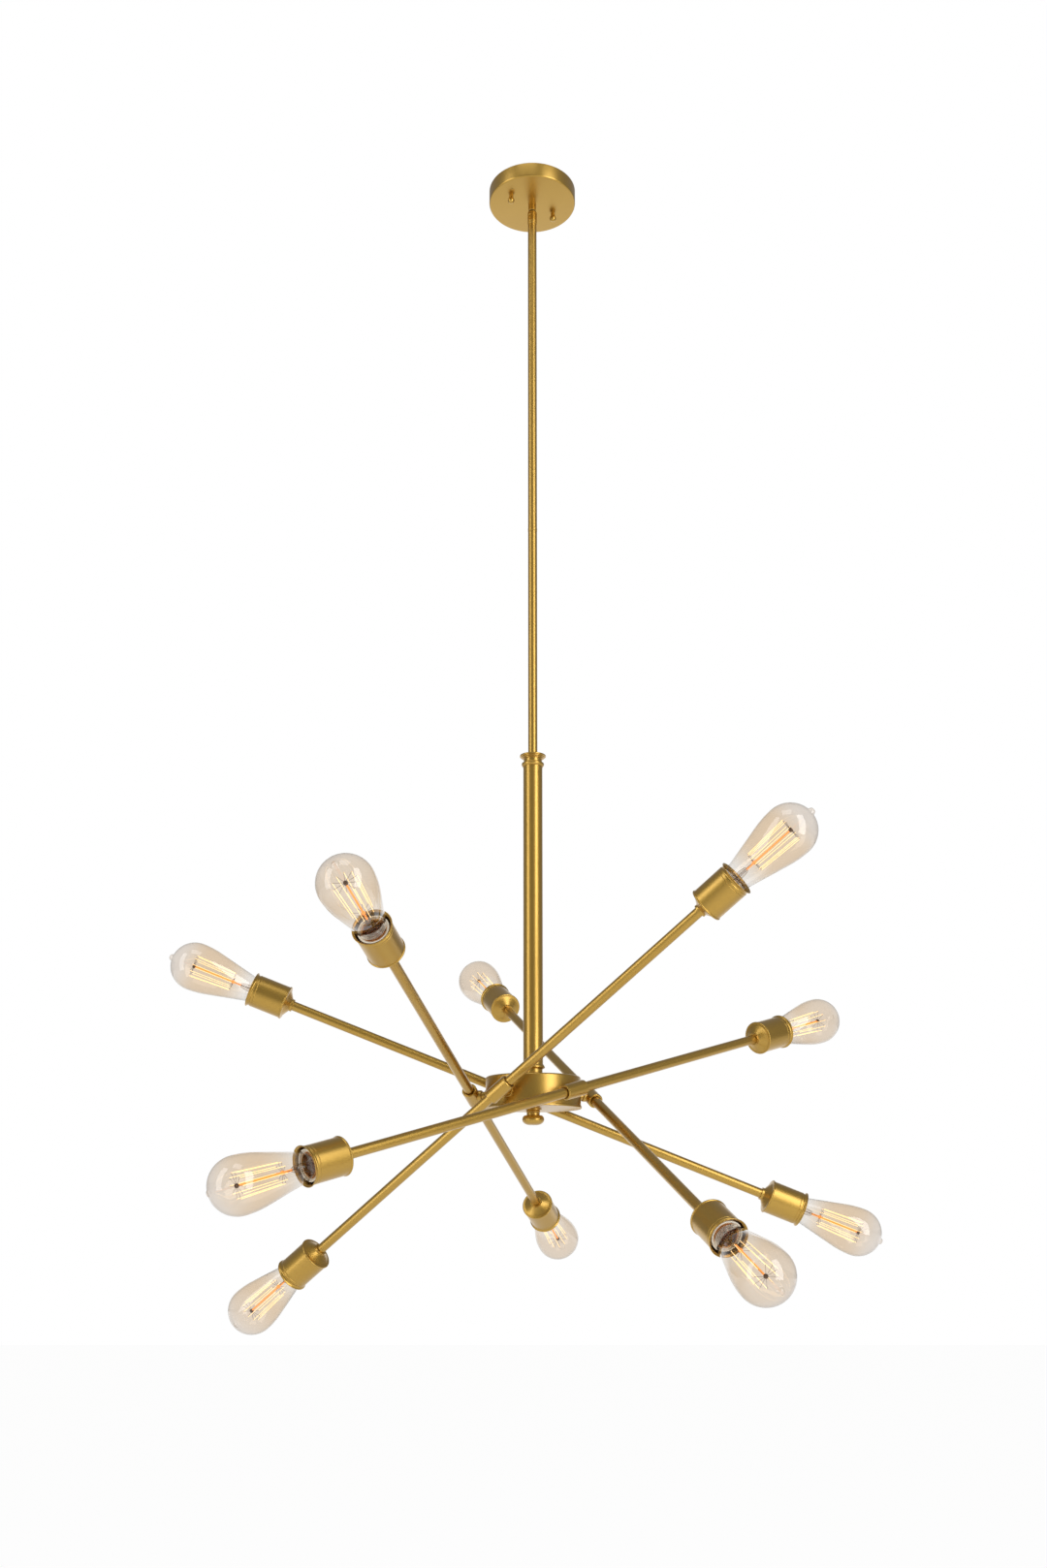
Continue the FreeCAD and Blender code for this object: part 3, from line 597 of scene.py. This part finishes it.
holder_radius = 18.0
holder_top = 43.9
holder_rim_radius = 16.3
holder_step = 2.4
holder_bore_radius = 13.6
holder_floor = 17.0
holder_base = 1.0
holder_wire_hole = 2.0
shell_inside = 13.25
shell_low = 17.6
shell_lip = 14.6


def ivory_plastic():
    """Moulded ivory thermoplastic, slightly yellowed in patches."""
    ivory = Finish(bpy.data.materials.new("ivory_plastic"), IOR=1.5)
    ageing = ivory.noise(130.0, 3.0)
    colour = ivory.blend(ageing, (0.76, 0.72, 0.62), (0.86, 0.83, 0.75))
    return ivory.feed(Base_Color=colour, Roughness=ageing * 0.2 + 0.38)


def rolled_shell():
    """Bright rolled shell, redder than the fitting, rubbed in places."""
    shell = Finish(bpy.data.materials.new("rolled_shell"), Metallic=1.0)
    rub = shell.noise(240.0, 3.0)
    colour = shell.blend(rub, (0.58, 0.28, 0.11), (0.78, 0.47, 0.24))
    return shell.feed(Base_Color=colour, Roughness=rub * 0.2 + 0.28)


holder = turn_on_lathe("holder", [
    (holder_wire_hole, holder_base), (holder_radius, holder_base), (holder_radius, holder_top),
    (holder_rim_radius, holder_top), (holder_rim_radius, holder_top - holder_step),
    (holder_bore_radius, holder_top - holder_step), (holder_bore_radius, holder_floor),
    (holder_wire_hole, holder_floor)], 72, bored=True)
soften(holder, 0.4, 3)
fit_to_arms(holder, "holder", "ivory_holder", ivory_plastic(), "holders")

shell_finish = rolled_shell()
shell_top = holder_top - holder_step
shell_edge = holder_bore_radius - 0.05
shell = turn_on_lathe("shell", [
    (shell_inside, shell_low), (shell_edge, shell_low), (shell_edge, shell_top + 0.1),
    (shell_lip, shell_top + 0.35), (shell_lip, shell_top + 0.7), (13.9, shell_top + 0.7),
    (shell_inside, shell_top + 0.1)], 72, bored=True)
fit_to_arms(shell, "shell", "cap_brass", shell_finish, "holders")

# Bulb caps: thin brass shells, rolled to a round thread, crimped and cemented
# round the neck of the glass, with a contact below.

cap_radius = 13.1
cap_low = 18.5
cap_length = 24.0
cap_wall = 0.6
cap_hole = 2.0
contact_radius = 4.5
contact_low = cap_low - 1.5
thread_low = cap_low + 3.0
thread_pitch = 3.6
thread_depth = 0.7
thread_turns = 5
turn_steps = 6
thread = [(cap_radius - thread_depth / 2 * (1 - math.cos(2 * math.pi * i / turn_steps)),
           thread_low + thread_pitch * i / turn_steps)
          for i in range(thread_turns * turn_steps + 1)]
cap = turn_on_lathe("cap", [
    (cap_hole, contact_low), (contact_radius, contact_low), (contact_radius, cap_low),
    (cap_radius - 1.5, cap_low)] + thread + [
    (cap_radius, cap_low + cap_length), (cap_radius - cap_wall, cap_low + cap_length),
    (cap_radius - 1.4, thread_low), (cap_radius - 3.0, cap_low + cap_wall),
    (cap_hole, cap_low + cap_wall)], 72, bored=True)
fit_to_arms(cap, "cap", "cap_brass", shell_finish, "bulb_caps")

# Bulbs: blown teardrop glass with the sealed nipple at the tip. The amber on
# the belly is partly the glass's own tint and partly painted glow of the
# filament behind it. The wall is thinner than it can show, so one surface
# stands for it, and its tint changes along the bulb.

glass_low = 39.5
glass_neck_radius = 12.45
glass_shoulder = (16.6, 48.4)
glass_radius = 31.7
belly_radius = 117.0
ring_height = 127.95
crown = ring_height + glass_radius
nipple_radius = 4.5
nipple_height = 3.95


def amber_glass():
    """Glass nearly clear at the neck, amber on the belly, partly its own tint and
    partly painted glow of the filament, greyer over the dome, and darker and
    more reflective where the wall is seen edge on."""
    glass = Finish(bpy.data.materials.new("amber_glass"))
    along = glass.add("Attribute", {"attribute_name": "along"}, output=2)
    tints = [glass.add("BsdfTransparent", None, {"Color": (*tint, 1)})
             for tint in ((0.925, 0.915, 0.90), (0.875, 0.775, 0.655), (0.885, 0.845, 0.805),
                          (0.62, 0.60, 0.58))]
    neck, belly, dome, rim = tints
    # From the neck's clear tint to the belly's amber, which is partly painted glow of the filament.
    neck_to_belly_painted_glow = glass.add("MixShader", None, {0: glass.step(along, 0.05, 0.42), 1: neck, 2: belly})
    wall = glass.add("MixShader", None, {0: glass.step(along, 0.66, 0.94), 1: neck_to_belly_painted_glow, 2: dome})
    facing = glass.add("LayerWeight", None, {"Blend": 0.5}, output=1)
    body = glass.add("MixShader", None, {0: facing ** 6.0, 1: wall, 2: rim})
    gloss = glass.add("BsdfGlossy", None, {"Color": (1, 1, 1, 1), "Roughness": 0.03})
    mirror = facing ** 5.0 * 0.92 + 0.07
    return glass.show(glass.add("MixShader", None, {0: mirror, 1: body, 2: gloss}))


def bulb_outline():
    """Teardrop outline from the neck, along a straight flank, round the belly
    and over the dome to the nipple."""
    centre = glass_radius - belly_radius
    shoulder_radius, shoulder_height = glass_shoulder
    reach = math.hypot(centre - shoulder_radius, ring_height - shoulder_height)
    lean = math.atan2(centre - shoulder_radius, ring_height - shoulder_height)
    flank = math.degrees(lean + math.asin(belly_radius / reach))
    return ([(glass_neck_radius, glass_low), (glass_neck_radius, glass_low + 3.2),
             (13.2, glass_low + 5.0), (14.9, glass_low + 6.9), glass_shoulder]
            + arc((centre, ring_height), belly_radius, -flank, 0, 12)
            + arc((0, ring_height), glass_radius, 5, 77, 18)
            + [(nipple_radius + 1.4, crown - 0.55), (nipple_radius + 0.4, crown - 0.1),
               (nipple_radius - 0.1, crown + 0.8), (nipple_radius - 0.5, crown + 2.0),
               (nipple_radius - 1.4, crown + 3.2), (nipple_radius - 2.8, crown + 3.85),
               (0.5, crown + nipple_height)])


bulb = turn_on_lathe("bulb", bulb_outline(), 96)
bulb_height = crown - glass_low
along = bulb.data.attributes.new("along", "FLOAT", "POINT")
for vertex, value in zip(bulb.data.vertices, along.data):
    value.value = (vertex.co.z / mm - glass_low) / bulb_height
fit_to_arms(bulb, "glass", "amber_glass", amber_glass(), "bulb_glass")

# Filament mounts: a flared glass tube pinched to a press, with a glass rod
# and two rings of wire hooks. One long carbon wire is strung between them
# and glows. The glass rod is painted orange with a painted glow, for the
# wire's glow that it catches.

mount_radius = 11.4
press_height = 63.5
mount_rod = 1.2
mount_bead = 2.1
cage_low = 75.5
cage_high = 130.0
cage_low_radius = 12.0
cage_high_radius = 14.4
strand_count = 10
strand_radius = 0.32
hook_radius = 0.18
hook_hub = 1.5
lead_radius = 0.3
lead_top = 71.0
rod_top = 131.4


def glowing(name, colour, cool, hot, strength):
    """A surface that glows unevenly between two colours: the hot wire, and the
    glass rod, whose glow is painted glow of the wire that it catches.
    """
    surface = Finish(bpy.data.materials.new(name), Roughness=0.5, Base_Color=(*colour, 1),
                     Emission_Strength=strength)
    wave = surface.noise(160.0, 1.0)
    return surface.feed(Emission_Color=surface.blend(wave, cool, hot))


def mount_glass():
    """Plain glass of the mount, smoky where it is seen edge on."""
    glass = Finish(bpy.data.materials.new("mount_glass"))
    facing = glass.add("LayerWeight", None, {"Blend": 0.5}, output=1)
    clear = glass.add("BsdfTransparent", None, {"Color": (0.90, 0.87, 0.84, 1)})
    rim = glass.add("BsdfTransparent", None, {"Color": (0.58, 0.53, 0.48, 1)})
    body = glass.add("MixShader", None, {0: facing ** 2.0, 1: clear, 2: rim})
    gloss = glass.add("BsdfGlossy", None, {"Color": (1, 1, 1, 1), "Roughness": 0.05})
    mirror = facing ** 5.0 * 0.95 + 0.05
    return glass.show(glass.add("MixShader", None, {0: mirror, 1: body, 2: gloss}))


def hook_wire():
    """Dull molybdenum wire, browned by heat."""
    support = Finish(bpy.data.materials.new("hook_wire"), Metallic=1.0)
    tarnish = support.noise(700.0, 2.0)
    return support.feed(Base_Color=support.blend(tarnish, (0.10, 0.06, 0.04), (0.26, 0.18, 0.12)),
                        Roughness=tarnish * 0.2 + 0.35)


def wire(name, start, end, radius, sides=6):
    """A straight wire between two points, its ends tapered off."""
    start = Vector(start)
    end = Vector(end)
    length = (end - start).length
    piece = turn_on_lathe(name, [(radius * 0.6, 0), (radius, radius), (radius, length - radius),
                                 (radius * 0.6, length)], sides)
    turn = (end - start).to_track_quat("Z", "Y").to_matrix().to_4x4()
    piece.data.transform(Matrix.Translation(start * mm) @ turn)
    return piece


def joined(name, pieces):
    """Several pieces as one."""
    bpy.ops.object.select_all(action="DESELECT")
    for piece in pieces:
        piece.select_set(True)
    bpy.context.view_layer.objects.active = pieces[0]
    bpy.ops.object.join()
    pieces[0].name = name
    return pieces[0]


def spoke(index, radius, height):
    """Point on a ring of the cage."""
    angle = 2 * math.pi * index / strand_count
    return (radius * math.cos(angle), radius * math.sin(angle), height)


mount = turn_on_lathe("mount", [
    (mount_radius, glass_low + 0.2), (9.4, glass_low + 2.0), (6.4, glass_low + 5.5),
    (4.7, glass_low + 9.0), (4.4, glass_low + 17.0), (3.6, press_height - 2.0),
    (2.2, press_height), (0.5, press_height + 0.3)], 40)
fit_to_arms(mount, "mount", "amber_glass", mount_glass(), "filaments")

glass_rod = turn_on_lathe("glass_rod", [
    (0.4, press_height - 1.0), (1.3, press_height), (mount_rod, 72.5), (mount_bead, 73.2),
    (2.3, 74.6), (mount_bead, 76.0), (mount_rod, 76.8), (1.1, 126.4), (mount_rod, 127.4),
    (0.5, 127.6)], 20)
# The glass rod's orange colour and emission are painted glow: they show the wire's glow caught in
# the glass, and the rod does not glow itself.
rod_painted_glow = glowing("glass_rod_painted_glow", (0.85, 0.36, 0.10), (0.90, 0.26, 0.03), (1.0, 0.38, 0.07), 0.8)
fit_to_arms(glass_rod, "glass_rod", "filament", rod_painted_glow, "filaments")

hub = turn_on_lathe("hub", [(1.0, 127.2), (2.0, 127.6), (2.4, 128.4), (2.4, 130.4),
                            (1.9, rod_top - 0.2), (0.5, rod_top)], 20)
hooks = [wire("hook", spoke(i, hook_hub, height), spoke(i, radius, height + lift), hook_radius, 5)
         for i in range(strand_count)
         for height, radius, lift in ((74.6, cage_low_radius, 0.9), (129.8, cage_high_radius, 0.2))]
leads = [wire("lead", (side * 1.8, 0, glass_low + 4.0), (side * 2.2, 0, lead_top), lead_radius)
         for side in (-1, 1)]
fit_to_arms(joined("hooks", [hub] + hooks + leads), "hooks", "filament", hook_wire(), "filaments")

strands = [wire("strand", spoke(i, cage_low_radius, cage_low),
                spoke(i, cage_high_radius, cage_high), strand_radius)
           for i in range(strand_count)]
hot_wire = glowing("glowing_wire", (0.95, 0.80, 0.5), (1.0, 0.62, 0.24), (1.0, 0.80, 0.42), 1.45)
fit_to_arms(joined("strands", strands), "strands", "filament", hot_wire, "filaments")

# Stage: a plain white floor and backdrop, two tall soft boxes at the sides of
# the camera, a small one above, and the photograph's camera.

floor_drop = 0.75
floor_height = cad_bounds[0][2] - floor_drop
floor_glow = 0.95
dim_room = 0.28
fill_light = 0.45


def seen_white(nodes_of, behind):
    """1 for rays from the camera and through glass, and for mirrored rays as
    far as what they meet lies behind the object."""
    eye = nodes_of.add("LightPath", output=0)
    through = nodes_of.add("LightPath", output=6)
    mirrored = nodes_of.add("LightPath", output=3) * behind
    seen = nodes_of.add("Math", {"operation": "MAXIMUM"}, {0: eye, 1: through})
    return nodes_of.add("Math", {"operation": "MAXIMUM"}, {0: seen, 1: mirrored})


def white_paper():
    """Matt white paper. To the eye most of it is plain white, and the rest
    keeps the object's shadow."""
    paper = Finish(bpy.data.materials.new("floor_paper"))
    shades = [paper.add("BsdfDiffuse", None, {"Color": (shade, shade, shade, 1)})
              for shade in (0.80, 0.84)]
    fibre = paper.noise(40.0, 3.0)
    matt = paper.add("MixShader", None, {0: fibre, 1: shades[0], 2: shades[1]})
    white = paper.add("Emission", None, {"Color": (1, 1, 1, 1), "Strength": 1.0})
    place = paper.add("TexCoord", output=3)
    far = paper.step(paper.add("SeparateXYZ", None, {"Vector": place}, output=1), -1.0, 1.5)
    return paper.show(paper.add("MixShader", None, {
        0: seen_white(paper, far) * floor_glow, 1: matt, 2: white}))


def studio_world():
    """White to the eye and through glass. Metal shows it white straight
    behind the object and dim elsewhere. It fills matt surfaces with a plain,
    slightly stronger light."""
    studio = Finish(bpy.data.worlds.new("studio"), "Background")
    direction = studio.add("TexCoord", output=0)
    behind = studio.add("SeparateXYZ", None, {"Vector": direction}, output=1)
    white = studio.add("Background", None, {"Color": (1, 1, 1, 1), "Strength": 1.0})
    shades = [studio.add("Background", None, {"Color": (1, 0.99, 0.97, 1), "Strength": strength})
              for strength in (dim_room, dim_room + fill_light)]
    scattered = studio.add("LightPath", output=2)
    dim = studio.add("MixShader", None, {0: scattered, 1: shades[0], 2: shades[1]})
    return studio.show(studio.add("MixShader", None, {
        0: seen_white(studio, studio.step(behind, 0.78, 0.94)), 1: dim, 2: white}))


def soft_box(name, place, target, width, height, power):
    """A soft box that looks at a point."""
    data = bpy.data.lights.new(name, "AREA")
    data.shape = "RECTANGLE"
    data.size = width
    data.size_y = height
    data.energy = power
    box = bpy.data.objects.new(name, data)
    bpy.context.scene.collection.objects.link(box)
    box.location = place
    box.rotation_euler = (Vector(target) - Vector(place)).to_track_quat("-Z", "Y").to_euler()
    box.visible_camera = False


bpy.ops.object.select_all(action="DESELECT")
bpy.ops.mesh.primitive_plane_add(size=16.0, location=(0, 2.0, floor_height))
floor = bpy.context.object
floor.name = "floor"
floor.data.materials.append(white_paper())
bpy.context.scene.world = studio_world()
middle = (0, 0, -0.5)
soft_box("left_box", (-2.25, -1.30, -0.3), middle, width=1.0, height=3.4, power=22)
soft_box("right_box", (1.75, -1.90, -0.3), middle, width=1.2, height=3.4, power=42)
soft_box("top_box", (-0.3, -1.2, 1.6), middle, width=1.4, height=1.2, power=8)

photo_height = 1618
focal_pixels = 1553.0
horizon_row = 992.0
camera_pitch = 10.03
camera_place = (-0.0122, -1.896, -1.4337)
sensor = 36.0
camera_data = bpy.data.cameras.new("camera")
camera_data.sensor_fit = "VERTICAL"
camera_data.sensor_height = sensor
camera_data.lens = sensor * focal_pixels / photo_height
camera_data.shift_y = (horizon_row - photo_height / 2) / photo_height
camera = bpy.data.objects.new("camera", camera_data)
camera.location = camera_place
camera.rotation_euler = (math.radians(90 + camera_pitch), 0, 0)
bpy.context.scene.collection.objects.link(camera)
bpy.context.scene.camera = camera
bpy.context.scene.view_settings.view_transform = "Standard"
